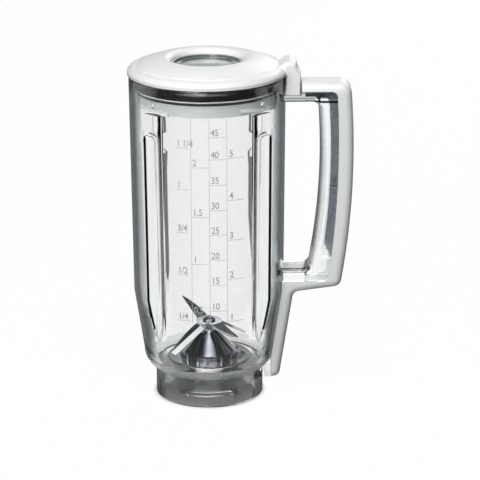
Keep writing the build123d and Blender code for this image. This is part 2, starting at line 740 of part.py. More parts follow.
with BuildPart() as upper_bush:
    add(ring(BUSH_R, SHAFT_R + RUN, HUB_TOP_Z - BUSH_H, BUSH_H))
upper_bush.part.label = "upper_bush"
export_step(upper_bush.part, "parts/upper_bush.step")

with BuildPart() as shaft_seal:
    add(turned([
        (SHAFT_R + RUN, HUB_TOP_Z + SHAFT_SEAL_H / 2),
        (SHAFT_R + 1, HUB_TOP_Z),
        (SHAFT_SEAL_R, HUB_TOP_Z),
        (SHAFT_SEAL_R, HUB_TOP_Z + SHAFT_SEAL_H),
        (SHAFT_R + RUN, HUB_TOP_Z + SHAFT_SEAL_H),
    ]))
shaft_seal.part.label = "shaft_seal"
export_step(shaft_seal.part, "parts/shaft_seal.step")

# Rotor
washer_top_z = SHOULDER_TOP_Z + WASHER_T
lower_z = washer_top_z
upper_z = lower_z + BLADE_T
nut_z = upper_z + BLADE_T
washer_z = HUB_FOOT_Z - LOOSE - WASHER_T
clip_z = washer_z - CLIP_T
coupling_top_z = clip_z - COUPLING_ROOM
coupling_z = coupling_top_z - COUPLING_H
stud_z = coupling_z + DOG_DEPTH

with BuildPart() as shaft:
    add(turned([
        (0, stud_z),
        (STUD_R, stud_z),
        (STUD_R, coupling_top_z),
        (SHAFT_R, coupling_top_z),
        (SHAFT_R, clip_z),
        (GROOVE_R, clip_z),
        (GROOVE_R, washer_z),
        (SHAFT_R, washer_z),
        (SHAFT_R, SHOULDER_TOP_Z),
        (STEM_R, SHOULDER_TOP_Z),
        (STEM_R, nut_z + NUT_HEX_H),
        (0, nut_z + NUT_HEX_H),
    ]))
shaft.part.label = "shaft"
export_step(shaft.part, "parts/shaft.step")


GROUND_TOP = -1
GROUND_FOOT = 0


def blade_arm(reach, tilt, tip_w, ground):
    """One arm along +X, bent down by tilt degrees at the hub plate, its edge ground on the top or foot face."""
    length = (reach - BLADE_HUB_R) / cos(radians(tilt))
    half = ARM_W / 2
    back = 0.75 * half
    belly = 0.6 * (back - tip_w) - 0.75 * half
    pivot_z = BLADE_T if tilt > 0 else 0
    with BuildPart() as made:
        with BuildSketch():
            with BuildLine():
                Line((0, half), (0, -half))
                ThreePointArc((0, -half), (0.6 * length, belly), (length, back - tip_w))
                Polyline((length, back - tip_w), (length, back), (0, half))
            make_face()
        extrude(amount=BLADE_T)
        flat = made.faces().sort_by(Axis.Z)[ground]
        cutting = flat.edges().filter_by(lambda e: e.center().X < 0.9 * length and e.center().Y > back)
        chamfer(cutting, EDGE_W, EDGE_T, reference=flat)
    return Pos(BLADE_HUB_R, 0, pivot_z) * Rot(Y=tilt) * Pos(0, 0, -pivot_z) * made.part


def blade(z, reaches, angles, tilts, tip_w, ground):
    """A hub plate with its arms, lying on height z."""
    with BuildPart() as made:
        add(rod(BLADE_HUB_R, BLADE_T))
        for reach, angle, tilt in zip(reaches, angles, tilts):
            add(Rot(Z=angle) * block(BLADE_HUB_R, ARM_W, BLADE_T))
            add(Rot(Z=angle) * blade_arm(reach, tilt, tip_w, ground))
        add(rod(STEM_R, BLADE_T), mode=Mode.SUBTRACT)
    return Pos(0, 0, z) * made.part


with BuildPart() as lower_blade:
    add(blade(lower_z, LOWER_REACHES, LOWER_ARM_ANGLES, LOWER_TILT_ANGLES, LOWER_TIP_W, GROUND_TOP))
lower_blade.part.label = "lower_blade"
export_step(lower_blade.part, "parts/lower_blade.step")

with BuildPart() as upper_blade:
    add(blade(upper_z, UPPER_REACHES, UPPER_ARM_ANGLES, UPPER_TILT_ANGLES, UPPER_TIP_W, GROUND_FOOT))
upper_blade.part.label = "upper_blade"
export_step(upper_blade.part, "parts/upper_blade.step")

with BuildPart() as seat_washer:
    add(ring(SEAT_WASHER_R, STEM_R, SHOULDER_TOP_Z, WASHER_T))
seat_washer.part.label = "seat_washer"
export_step(seat_washer.part, "parts/seat_washer.step")

with BuildPart() as blade_nut:
    with BuildSketch(Plane.XY.offset(nut_z)):
        RegularPolygon(NUT_R, 6)
    extrude(amount=NUT_HEX_H)
    with Locations((0, 0, nut_z + NUT_HEX_H)):
        Cone(NUT_DOME_R, NUT_DOME_R - NUT_DOME_H, NUT_DOME_H, align=(Align.CENTER, Align.CENTER, Align.MIN))
    add(Pos(0, 0, nut_z) * rod(STEM_R, NUT_HEX_H), mode=Mode.SUBTRACT)
blade_nut.part.label = "blade_nut"
export_step(blade_nut.part, "parts/blade_nut.step")

with BuildPart() as thrust_washer:
    add(ring(WASHER_R, SHAFT_R, washer_z, WASHER_T))
thrust_washer.part.label = "thrust_washer"
export_step(thrust_washer.part, "parts/thrust_washer.step")

with BuildPart() as retaining_clip:
    add(ring(CLIP_R, GROOVE_R, clip_z, CLIP_T))
    with Locations((0, 0, clip_z)):
        Box(CLIP_R + 1, CLIP_GAP, CLIP_T, align=(Align.MIN, Align.CENTER, Align.MIN), mode=Mode.SUBTRACT)
retaining_clip.part.label = "retaining_clip"
export_step(retaining_clip.part, "parts/retaining_clip.step")

with BuildPart() as drive_coupling:
    add(ring(COUPLING_R, INSERT_R, coupling_z, COUPLING_H))
    add(Pos(0, 0, coupling_z) * rod(DOG_R, DOG_DEPTH), mode=Mode.SUBTRACT)
    with PolarLocations(0, DOG_SLOTS):
        with Locations((0, 0, coupling_z)):
            Box(
                COUPLING_R - DOG_SKIN,
                DOG_SLOT_W,
                DOG_DEPTH,
                align=(Align.MIN, Align.CENTER, Align.MIN),
                mode=Mode.SUBTRACT,
            )
drive_coupling.part.label = "drive_coupling"
export_step(drive_coupling.part, "parts/drive_coupling.step")

with BuildPart() as coupling_insert:
    add(ring(INSERT_R, STUD_R, stud_z, coupling_top_z - stud_z))
coupling_insert.part.label = "coupling_insert"
export_step(coupling_insert.part, "parts/coupling_insert.step")
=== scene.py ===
"""Looks of a clear blender jar: moulded plastics, steel knives, a printed scale, light and camera."""

import json
import math

import bmesh
import bpy
from mathutils import Matrix, Vector

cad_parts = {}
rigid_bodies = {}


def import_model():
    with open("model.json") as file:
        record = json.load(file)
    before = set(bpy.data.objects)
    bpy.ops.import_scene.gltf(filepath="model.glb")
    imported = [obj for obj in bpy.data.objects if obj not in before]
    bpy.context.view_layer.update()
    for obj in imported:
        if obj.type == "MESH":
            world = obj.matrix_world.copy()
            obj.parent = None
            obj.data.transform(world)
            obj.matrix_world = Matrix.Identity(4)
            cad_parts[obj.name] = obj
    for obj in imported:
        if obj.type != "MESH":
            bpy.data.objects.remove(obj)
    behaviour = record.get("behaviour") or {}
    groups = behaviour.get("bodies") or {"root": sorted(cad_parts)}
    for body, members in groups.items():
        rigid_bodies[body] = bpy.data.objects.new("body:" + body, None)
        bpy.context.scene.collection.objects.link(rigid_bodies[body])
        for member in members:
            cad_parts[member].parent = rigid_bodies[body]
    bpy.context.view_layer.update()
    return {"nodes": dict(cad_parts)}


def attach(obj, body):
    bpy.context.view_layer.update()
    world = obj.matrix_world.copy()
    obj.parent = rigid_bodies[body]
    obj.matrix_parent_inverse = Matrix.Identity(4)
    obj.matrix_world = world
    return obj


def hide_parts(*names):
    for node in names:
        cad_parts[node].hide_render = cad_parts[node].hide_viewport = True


MM = 0.001

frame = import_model()


# Helpers for nodes
def linear(colour):
    """An sRGB hex colour as linear RGBA."""
    parts = [int(colour[i:i + 2], 16) / 255 for i in (1, 3, 5)]
    return [c / 12.92 if c <= 0.04045 else ((c + 0.055) / 1.055) ** 2.4 for c in parts] + [1.0]


def node(tree, kind, inputs=None, **settings):
    """Adds a node to a tree, with its settings and with values or links for its inputs."""
    made = tree.nodes.new(kind)
    for name, value in settings.items():
        setattr(made, name, value)
    for name, value in (inputs or {}).items():
        if isinstance(value, bpy.types.NodeSocket):
            tree.links.new(value, made.inputs[name])
        else:
            made.inputs[name].default_value = value
    return made


def material(name):
    """An empty material and its tree."""
    made = bpy.data.materials.new(name)
    made.use_nodes = True
    made.node_tree.nodes.clear()
    return made, made.node_tree


def surface(tree, shader):
    """Ends a material's tree with its surface."""
    node(tree, "ShaderNodeOutputMaterial", {"Surface": shader})


def object_place(tree):
    """Places on the object, in metres."""
    return node(tree, "ShaderNodeTexCoord").outputs["Object"]


def axes(tree, vector):
    """A vector's X, Y and Z."""
    return node(tree, "ShaderNodeSeparateXYZ", {0: vector}).outputs


def worked(tree, operation, *values, **settings):
    """The result of one sum or test on values or links."""
    return node(tree, "ShaderNodeMath", dict(enumerate(values)), operation=operation, **settings).outputs[0]


def vector_length(tree, vector):
    """The length of a vector."""
    return node(tree, "ShaderNodeVectorMath", {0: vector}, operation="LENGTH").outputs["Value"]


def spread(tree, value, start, end, low, high):
    """Lays a value's stretch from start to end onto low to high, and holds it there outside that stretch."""
    return node(tree, "ShaderNodeMapRange", {
        "Value": value, "From Min": start, "From Max": end, "To Min": low, "To Max": high,
    }).outputs["Result"]


def spread_mm(tree, length, start, end, low, high):
    """The same for a length in metres, with start and end in millimetres."""
    return spread(tree, length, start * MM, end * MM, low, high)


def uneven(tree, pattern, low, high):
    """A value that wanders between low and high with a pattern."""
    return spread(tree, pattern, 0.0, 1.0, low, high)


def blend(tree, share, first, second):
    """A number between first and second."""
    return node(tree, "ShaderNodeMix", {0: share, 2: first, 3: second}, data_type="FLOAT").outputs[0]


def blend_colour(tree, share, first, second, how="MIX"):
    """A colour between first and second, or the first tinted by the second."""
    return node(tree, "ShaderNodeMix", {
        0: share, 6: first, 7: second,
    }, data_type="RGBA", blend_type=how).outputs[2]


def blend_shader(tree, share, first, second):
    """A surface between first and second."""
    return node(tree, "ShaderNodeMixShader", {0: share, 1: first, 2: second}).outputs[0]


def tones(tree, value, stops):
    """A colour from a ramp, whose stops are pairs of place and hex colour."""
    ramp = node(tree, "ShaderNodeValToRGB", {"Fac": value})
    points = ramp.color_ramp.elements
    while len(points) < len(stops):
        points.new(0.5)
    for point, (place, colour) in zip(points, stops):
        point.position = place
        point.color = linear(colour)
    return ramp.outputs["Color"]


def noise(tree, place, size_mm, detail):
    """Uneven patches, each about size_mm wide."""
    return node(tree, "ShaderNodeTexNoise", {
        "Vector": place, "Scale": 1 / (size_mm * MM), "Detail": detail,
    }).outputs["Fac"]


def bump(tree, height, strength, depth_mm):
    """Normals of a skin that is uneven by depth_mm."""
    return node(tree, "ShaderNodeBump", {
        "Height": height, "Strength": strength, "Distance": depth_mm * MM,
    }).outputs["Normal"]


def principled(tree, **inputs):
    """A principled surface; words in the input names are joined by underscores."""
    named = {name.replace("_", " "): value for name, value in inputs.items()}
    return node(tree, "ShaderNodeBsdfPrincipled", named).outputs["BSDF"]


# Helpers for objects
def placed(name, data):
    """A new object at the origin."""
    made = bpy.data.objects.new(name, data)
    bpy.context.collection.objects.link(made)
    return made


def mesh_of(name, work):
    """A new mesh from a finished bmesh."""
    mesh = bpy.data.meshes.new(name)
    work.to_mesh(mesh)
    work.free()
    return mesh


def drawn_mesh(holder):
    """The plain mesh that an object draws; the object and its modifiers go."""
    mesh = bpy.data.meshes.new_from_object(holder.evaluated_get(bpy.context.evaluated_depsgraph_get()))
    bpy.data.objects.remove(holder)
    return mesh


# Shared by the finishes: tints, upper share of the bloom, fade of the painted edge shade from upright to
# lying faces, roughness swings
SHADOW_TINT, MILK = "#DADCDC", "#F2F4F4"
MILK_ON_TOP = 0.6
UPRIGHT_FADE = (0.2, 0.7, 1.0, 0.0)
HAZE_LEAST, HAZE_MOST = 0.5, 1.5
RUBBER_SWING = 0.1


def clear_moulding(name, edge_stops, haze, frost=0.0, bands=None):
    """Clear SAN, moulded and polished: sharp gloss, and painted shade that darkens upright walls where they
    turn away.

    haze is the roughness, frost the share of milky bloom, bands a low and a top height with painted light and
    dark lines between.
    """
    mat, tree = material(name)
    place = object_place(tree)
    wipe = noise(tree, place, size_mm=12, detail=4.0)
    # Painted shade: the ramp darkens upright faces as they turn from the eye, standing in for dark
    # surroundings seen in the wall
    facing = node(tree, "ShaderNodeLayerWeight", {"Blend": 0.5}).outputs["Facing"]
    normal = node(tree, "ShaderNodeNewGeometry").outputs["True Normal"]
    upright = spread(tree, worked(tree, "ABSOLUTE", axes(tree, normal)["Z"]), *UPRIGHT_FADE)
    colour = tones(tree, worked(tree, "MULTIPLY", facing, upright), edge_stops)
    # Painted light and dark lines, laid on by height
    if bands:
        low, top, stops = bands
        height = spread_mm(tree, axes(tree, place)["Z"], low, top, 0.0, 1.0)
        colour = blend_colour(tree, 1.0, colour, tones(tree, height, stops), "MULTIPLY")
    polished = principled(
        tree, Base_Color=colour, IOR=1.55, Transmission_Weight=1.0,
        Roughness=uneven(tree, wipe, haze * HAZE_LEAST, haze * HAZE_MOST),
        Normal=bump(tree, noise(tree, place, size_mm=30, detail=2.0), strength=0.02, depth_mm=0.2),
    )
    glow = node(tree, "ShaderNodeBsdfTranslucent", {"Color": linear(MILK)}).outputs["BSDF"]
    bloom = node(tree, "ShaderNodeBsdfDiffuse", {"Color": linear(MILK)}).outputs["BSDF"]
    frosted = blend_shader(tree, frost, polished, blend_shader(tree, MILK_ON_TOP, glow, bloom))
    shade = node(tree, "ShaderNodeBsdfTransparent", {"Color": linear(SHADOW_TINT)}).outputs["BSDF"]
    shadow_ray = node(tree, "ShaderNodeLightPath").outputs["Is Shadow Ray"]
    surface(tree, blend_shader(tree, shadow_ray, frosted, shade))
    return mat


def white_moulding(name, colour, gloss_low, gloss_high):
    """White ABS, moulded with a soft gloss: even and bright, with a fine grain that spreads highlights."""
    mat, tree = material(name)
    place = object_place(tree)
    grain = noise(tree, place, size_mm=0.8, detail=3.0)
    wear = noise(tree, place, size_mm=14, detail=4.0)
    surface(tree, principled(
        tree, Base_Color=linear(colour), Roughness=uneven(tree, wear, gloss_low, gloss_high), IOR=1.54,
        Normal=bump(tree, grain, strength=0.08, depth_mm=0.1),
    ))
    return mat


def rubber(name, colour, gloss):
    """Rubber and nylon: dark, with the uneven bloom of a moulded skin."""
    mat, tree = material(name)
    bloom = noise(tree, object_place(tree), size_mm=3, detail=5.0)
    surface(tree, principled(
        tree, Base_Color=linear(colour), IOR=1.45,
        Roughness=uneven(tree, bloom, gloss - RUBBER_SWING, gloss + RUBBER_SWING),
        Normal=bump(tree, bloom, strength=0.1, depth_mm=0.1),
    ))
    return mat


def metal(name, colour, gloss_low, gloss_high, mark_mm, stretch):
    """Metal with the marks of its making, mark_mm wide; a stretch along Z makes them run round the axis."""
    mat, tree = material(name)
    lay = node(tree, "ShaderNodeMapping", {"Vector": object_place(tree), "Scale": stretch}).outputs["Vector"]
    marks = noise(tree, lay, mark_mm, detail=4.0)
    surface(tree, principled(
        tree, Base_Color=linear(colour), Metallic=1.0, Roughness=uneven(tree, marks, gloss_low, gloss_high),
        Normal=bump(tree, marks, strength=0.06, depth_mm=0.05),
    ))
    return mat


def print_ink():
    """Screen-printed grey ink: dull, a little uneven where the screen laid it thin."""
    mat, tree = material("grey screen ink")
    patch = noise(tree, object_place(tree), size_mm=1.5, detail=3.0)
    surface(tree, principled(
        tree, Base_Color=tones(tree, patch, [(0.3, "#A9ADAE"), (0.7, "#BCC0C1")]),
        Roughness=uneven(tree, patch, low=0.45, high=0.65),
    ))
    return mat


# Painted shade of the clear pieces, darker where upright faces turn away: from a face seen straight on (0) to
# one seen along its length (1)
WALL_EDGE = [
    (0.0, "#FFFFFF"), (0.39, "#F8FAFA"), (0.476, "#F0F2F2"), (0.517, "#A4A8AA"), (0.562, "#8B8F92"),
    (0.614, "#5B6063"), (0.66, "#2C3032"), (0.7, "#202426"), (0.8, "#1E2123"), (1.0, "#1C1E20"),
]
INNER_EDGE = [(0.0, "#FFFFFF"), (0.6, "#F2F4F4"), (0.8, "#C0C5C7"), (0.92, "#5A5F62"), (1.0, "#202325")]
CAP_EDGE = [(0.0, "#F4F8F5"), (0.6, "#C4CBC8"), (0.85, "#6A706F"), (1.0, "#303434")]
# Painted shade: the inside of the cap's rim is dark, standing in for the dark edge of the clear rim
CAP_RING_PAINTED_SHADE = [(0.0, "#3E4442"), (0.6, "#3C4140"), (1.0, "#202322")]
FOOT_EDGE = [(0.0, "#F6F8F8"), (0.7, "#D4D8D9"), (1.0, "#8A8E90")]
# Painted shade: the knife carrier is greyed even face on, standing in for the shade inside the collar
CARRIER_PAINTED_SHADE = [(0.0, "#A6ABAD"), (0.7, "#969B9D"), (1.0, "#6A6E70")]
# Painted shade: the handle's channel is dark grey from every side, standing in for the shade inside the
# hollow
CHANNEL_PAINTED_SHADE = [(0.0, "#6C7378"), (0.6, "#545B60"), (1.0, "#2A2D30")]
# Painted shade: a dark band across the rounded bar of the handle as it turns away, standing in for dark
# surroundings it refracts
HANDLE_SIDE_PAINTED_SHADE = [
    (0.0, "#FFFFFF"), (0.13, "#F4F6F6"), (0.24, "#B4B9BC"), (0.35, "#5E6467"), (0.55, "#565C5F"),
    (0.8, "#8E9497"), (1.0, "#A8ADB0"),
]

# Painted dark and light lines along the handle's top arm, standing in for reflections inside the solid bar:
# its low and top height in millimetres and the tints between
ARM_PAINTED_LINES = (217.6, 223.6, [
    (0.0, "#FFFFFF"), (0.18, "#FFFFFF"), (0.19, "#030304"), (0.44, "#030304"), (0.52, "#FFFFFF"),
    (0.66, "#FFFFFF"), (0.76, "#6A7073"), (1.0, "#B4B9BB"),
])

# Clear SAN: the wall is polished, the channel textured and darkened by painted shade, the foot satin
clear_san = clear_moulding("clear SAN, polished moulding", WALL_EDGE, 0.02)
channel_san = clear_moulding("clear SAN, textured inner faces of the handle", CHANNEL_PAINTED_SHADE, 0.3)
inner_san = clear_moulding("clear SAN, inner face of the wall", INNER_EDGE, 0.02)
handle_san = clear_moulding("clear SAN, rounded bar of the handle", HANDLE_SIDE_PAINTED_SHADE, 0.04, bands=ARM_PAINTED_LINES)
ring_san = clear_moulding("clear SAN, inside of the cap's rim", CAP_RING_PAINTED_SHADE, 0.1)
cap_san = clear_moulding("clear SAN, filler cap", CAP_EDGE, 0.05)
foot_san = clear_moulding("clear SAN, satin foot above the collar", FOOT_EDGE, 0.3, frost=0.35)
carrier_san = clear_moulding("clear SAN, knife carrier", CARRIER_PAINTED_SHADE, 0.04, frost=0.01)

# White ABS: satin and bright outside, greyer on the plug as painted shade, where the wall shades it
white_lid = white_moulding("white ABS, lid", "#F1F2F2", 0.38, 0.5)
plug_painted_shade = white_moulding("white ABS, plug of the lid", "#CCCFCF", 0.3, 0.44)
white_cover = white_moulding("white ABS, handle cover", "#EEF0F0", 0.38, 0.5)

# Rubber and nylon: the lid seal is shiny enough for a streak of light, the others are dull
lid_rubber = rubber("black silicone, lid seal", "#0A0A0B", 0.24)
seal_rubber = rubber("dark nitrile, shaft and carrier seals", "#222325", 0.55)
coupling_nylon = rubber("dark grey nylon, drive coupling", "#53565A", 0.5)

# Metals: a mirror-like dark cone, bright flats and whiter ground edges on the blades, dull turned pieces, and
# a darker steel on the nut and seat washer as painted shade under the hub
cone_steel = metal("stainless steel, polished cone", "#84868D", 0.05, 0.09, 6.0, (1, 1, 4))
blade_steel = metal("stainless steel, rolled flats of the blades", "#C4C6C9", 0.12, 0.2, 1.2, (1, 1, 1))
edge_steel = metal("stainless steel, ground cutting edges", "#F4F5F5", 0.46, 0.56, 0.6, (1, 1, 1))
# Painted shade: the nut and the seat washer take a darker copy of the steel, standing in for the shade under
# the blades' hub
nut_steel_painted_shade = metal("stainless steel, domed nut", "#606267", 0.28, 0.4, 0.8, (1, 1, 6))
turned_steel = metal("stainless steel, turned", "#C0C2C6", 0.2, 0.34, 0.8, (1, 1, 6))
bush_bronze = metal("sintered bronze, bushes", "#A98453", 0.4, 0.6, 0.4, (1, 1, 1))
insert_brass = metal("brass, turned insert", "#C8A35A", 0.25, 0.4, 0.8, (1, 1, 6))

ink = print_ink()

FINISHES = {
    "jar": clear_san, "filler_cap": cap_san, "knife_carrier": carrier_san, "handle_cover": white_cover,
    "lid": white_lid, "lid_seal": lid_rubber, "carrier_seal": seal_rubber, "shaft_seal": seal_rubber,
    "hub_cone": cone_steel, "blade_nut": nut_steel_painted_shade, "lower_blade": blade_steel, "upper_blade": blade_steel,
    "shaft": turned_steel, "seat_washer": nut_steel_painted_shade, "thrust_washer": turned_steel,
    "retaining_clip": turned_steel, "lower_bush": bush_bronze, "upper_bush": bush_bronze,
    "drive_coupling": coupling_nylon, "coupling_insert": insert_brass,
}
BODY_OF = {name: obj.parent.name.split(":", 1)[-1] for name, obj in frame["nodes"].items() if obj.parent}

# Moulded pieces: merged copies of the solids, shaded smooth across edges flatter than this angle
SMOOTHED = ("jar", "filler_cap", "knife_carrier", "lid", "handle_cover", "hub_cone")
SHARP_DEG = 28
MERGE_MM, SLIVER_MM = 0.002, 0.001


def smooth_copy(name):
    """A merged and smoothly shaded copy of a solid's mesh, which takes the solid's place."""
    mesh = frame["nodes"][name].data.copy()
    mesh.name = name + "_moulding"
    work = bmesh.new()
    work.from_mesh(mesh)
    bmesh.ops.remove_doubles(work, verts=work.verts, dist=MERGE_MM * MM)
    bmesh.ops.dissolve_degenerate(work, edges=work.edges, dist=SLIVER_MM * MM)
    for face in work.faces:
        face.smooth = True
    for edge in work.edges:
        edge.smooth = len(edge.link_faces) == 2 and edge.calc_face_angle(0) < math.radians(SHARP_DEG)
    work.to_mesh(mesh)
    work.free()
    for layer in [found for found in mesh.attributes if found.name == "custom_normal"]:
        mesh.attributes.remove(layer)
    piece = placed(name + "_moulding", mesh)
    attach(piece, BODY_OF[name])
    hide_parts(name)
    return piece


# Where a moulded piece changes its finish or its painted shade, in millimetres; a limit on a normal's Z has
# no unit
CHANNEL_X, CHANNEL_HALF, CHANNEL_LOW_Z = 66.0, 10.0, 108.0
HANDLE_X, HANDLE_LOW_Z, HANDLE_TOP_Z = 57.5, 90.0, 226.6
FOOT_IN_R, FOOT_LOW_Z, FOOT_TOP_Z, FOOT_DOWN = 37.8, 18.0, 30.0, -0.35
RIB_LOW_Z = 60.0
PLUG_R, PLUG_SLACK, PLUG_TOP_Z, PLUG_UPRIGHT = 49.6, 0.3, 229.0, 0.3
CAP_PLATE_Z, CAP_RIM_Z, CAP_UPRIGHT = 244.0, 246.2, 0.5


def inward(place, normal):
    """Whether a face looks towards the jar's axis."""
    return place.x * normal.x + place.y * normal.y < 0


def jar_finish(place, normal):
    """The finish of a face of the jar."""
    if place.x > CHANNEL_X and abs(place.y) < CHANNEL_HALF and CHANNEL_LOW_Z < place.z < HANDLE_TOP_Z:
        return channel_san
    if place.x > HANDLE_X and HANDLE_LOW_Z < place.z < HANDLE_TOP_Z:
        return handle_san
    if normal.z < FOOT_DOWN and FOOT_LOW_Z < place.z < FOOT_TOP_Z and place.xy.length > FOOT_IN_R:
        return foot_san
    if inward(place, normal) and place.z > RIB_LOW_Z:
        return inner_san
    return clear_san


def lid_finish(place, normal):
    """The finish of a face of the lid: its plug is greyer than the rest, as painted shade."""
    on_plug = abs(place.xy.length - PLUG_R) < PLUG_SLACK and abs(normal.z) < PLUG_UPRIGHT
    return plug_painted_shade if on_plug and place.z < PLUG_TOP_Z else white_lid


def cap_finish(place, normal):
    """The finish of a face of the filler cap: the inside of its rim gets painted shade."""
    on_rim = CAP_PLATE_Z < place.z < CAP_RIM_Z and abs(normal.z) < CAP_UPRIGHT
    return ring_san if on_rim and inward(place, normal) else cap_san


FACE_FINISHES = {
    "jar": (jar_finish, [clear_san, channel_san, foot_san, handle_san, inner_san]),
    "lid": (lid_finish, [white_lid, plug_painted_shade]),
    "filler_cap": (cap_finish, [cap_san, ring_san]),
}

for name, solid in frame["nodes"].items():
    solid.data.materials.clear()
    solid.data.materials.append(FINISHES[name])
for name in SMOOTHED:
    mesh = smooth_copy(name).data
    if name in FACE_FINISHES:
        finish_of, finishes = FACE_FINISHES[name]
        for finish in finishes[1:]:
            mesh.materials.append(finish)
        for face in mesh.polygons:
            face.material_index = finishes.index(finish_of(face.center / MM, face.normal))

# Turn and bend of each arm of the blades, in degrees
BLADE_ARMS = {"lower_blade": ((222.0, 28.0), (43.0, 30.0)), "upper_blade": ((305.5, 12.0), (125.5, -27.5))}

# Ground edges: faces beyond the hub that lean a little, by its cosine, from the flat of their arm
BLADE_HUB_MM = 9.0
GROUND_LEAST, GROUND_MOST = 0.85, 0.97
EDGE_SLOT = 1


def grind(mesh, turn_deg, bend_deg):
    """Gives the ground edges of one arm of a blade their own finish."""
    turn, bend = math.radians(turn_deg), math.radians(bend_deg)
    outward = Vector((math.cos(turn), math.sin(turn), 0))
    flat = math.sin(bend) * outward + Vector((0, 0, math.cos(bend)))
    for face in mesh.polygons:
        on_arm = face.center.dot(outward) > BLADE_HUB_MM * MM
        if on_arm and GROUND_LEAST < face.normal.dot(flat) < GROUND_MOST:
            face.material_index = EDGE_SLOT


for name, arms in BLADE_ARMS.items():
    mesh = frame["nodes"][name].data
    mesh.materials.append(edge_steel)
    for turn_deg, bend_deg in arms:
        grind(mesh, turn_deg, bend_deg)

# Wall that carries the measuring scale, in millimetres
RIM_R, RIM_Z = 55.6, 238.6
SHOULDER_R, SHOULDER_Z = 54.0, 79.0
FOOT_R, FOOT_Z = 47.2, 34.0

# Measuring scale, printed on the outside of the front wall, in millimetres
PRINT_LIFT, PRINT_T, LINE_W = 0.03, 0.05, 0.3
SCALE_LINES = (-11.8, 0.9, 13.3)
SCALE_TOP, SCALE_FOOT = 219.0, 68.5
NUMERAL_TALL, NUMERAL_IN, NUMERAL_UP, STROKE_MORE = 5.0, 1.0, 1.2, 0.08

# Lettering: height, width and spacing as shares of the font's own, steps of its curves and of a tick
FONT_TALL, FONT_WIDE, FONT_SPACE = 0.72, 0.88, 0.95
CURVE_STEPS, TICK_STEPS = 3, 13

# Columns of the scale: left and right end of the ticks, and the number that stands at each height
TICK_COLUMNS = (
    (-23.2, -13.5, {71.0: "1/4", 105.3: "1/2", 136.6: "3/4", 168.0: "1", 198.0: "1 1/4"}),
    (-11.8, 0.3, {76.3: "0,5", 113.9: "1", 148.3: "1,5", 184.3: "2"}),
    (0.9, 13.0, {
        79.0: "10", 98.3: "15", 116.7: "20", 135.1: "25", 153.3: "30", 171.6: "35", 190.0: "40", 205.8: "45",
    }),
    (13.9, 25.9, {70.2: "1", 102.1: "2", 131.0: "3", 160.1: "4", 190.6: "5"}),
)


def wall_r(z):
    """The wall's outer radius at height z, in millimetres."""
    if z >= SHOULDER_Z:
        return SHOULDER_R + (RIM_R - SHOULDER_R) * (z - SHOULDER_Z) / (RIM_Z - SHOULDER_Z)
    return FOOT_R + (SHOULDER_R - FOOT_R) * (z - FOOT_Z) / (SHOULDER_Z - FOOT_Z)


def wrap(flat):
    """Lays a flat mesh, drawn in millimetres as X along, Y lift and Z up, round the front of the wall."""
    for vertex in flat.vertices:
        along, lift, up = vertex.co
        turn = along / wall_r(up)
        r = wall_r(up) + lift
        vertex.co = Vector((r * math.sin(turn), -r * math.cos(turn), up)) * MM


def tick_tree():
    """Geometry nodes for one column of ticks: a thin bar at each point of the mesh that carries them."""
    tree = bpy.data.node_groups.new("scale ticks", "GeometryNodeTree")
    for name, kind in (
        ("Marks", "NodeSocketGeometry"), ("Length", "NodeSocketFloat"), ("Line Width", "NodeSocketFloat"),
        ("Ink Thickness", "NodeSocketFloat"), ("Ink", "NodeSocketMaterial"),
    ):
        tree.interface.new_socket(name=name, in_out="INPUT", socket_type=kind)
    tree.interface.new_socket(name="Geometry", in_out="OUTPUT", socket_type="NodeSocketGeometry")
    given = node(tree, "NodeGroupInput").outputs
    size = node(tree, "ShaderNodeCombineXYZ", {
        "X": given["Length"], "Y": given["Ink Thickness"], "Z": given["Line Width"],
    })
    bar = node(tree, "GeometryNodeMeshCube", {"Size": size.outputs[0], "Vertices X": TICK_STEPS})
    ticks = node(tree, "GeometryNodeInstanceOnPoints", {
        "Points": given["Marks"], "Instance": bar.outputs["Mesh"],
    })
    real = node(tree, "GeometryNodeRealizeInstances", {"Geometry": ticks.outputs["Instances"]})
    inked = node(tree, "GeometryNodeSetMaterial", {
        "Geometry": real.outputs["Geometry"], "Material": given["Ink"],
    })
    node(tree, "NodeGroupOutput", {"Geometry": inked.outputs["Geometry"]})
    return tree


def tick_column(tree, left, right, heights):
    """One column of ticks as a plain flat mesh, with a bar at each height."""
    marks = bpy.data.meshes.new("ticks")
    marks.from_pydata([((left + right) / 2, PRINT_LIFT + PRINT_T / 2, up) for up in heights], [], [])
    holder = placed("ticks", marks)
    mod = holder.modifiers.new("scale ticks", "NODES")
    mod.node_group = tree
    sizes = {"Length": right - left, "Line Width": LINE_W, "Ink Thickness": PRINT_T, "Ink": ink}
    for item in tree.interface.items_tree:
        if item.in_out == "INPUT" and item.name in sizes:
            mod[item.identifier] = sizes[item.name]
    return drawn_mesh(holder)


def numeral(text, left, foot):
    """A numeral as a thin flat mesh, its foot at height foot."""
    curve = bpy.data.curves.new("numeral", "FONT")
    curve.body = text
    curve.size = NUMERAL_TALL / FONT_TALL
    curve.extrude = PRINT_T / 2
    curve.resolution_u = CURVE_STEPS
    curve.offset = STROKE_MORE
    curve.space_character = FONT_SPACE
    flat = drawn_mesh(placed("numeral", curve))
    for vertex in flat.vertices:
        x, y, z = vertex.co
        vertex.co = (left + FONT_WIDE * x, PRINT_LIFT + PRINT_T / 2 - z, foot + y)
    return flat


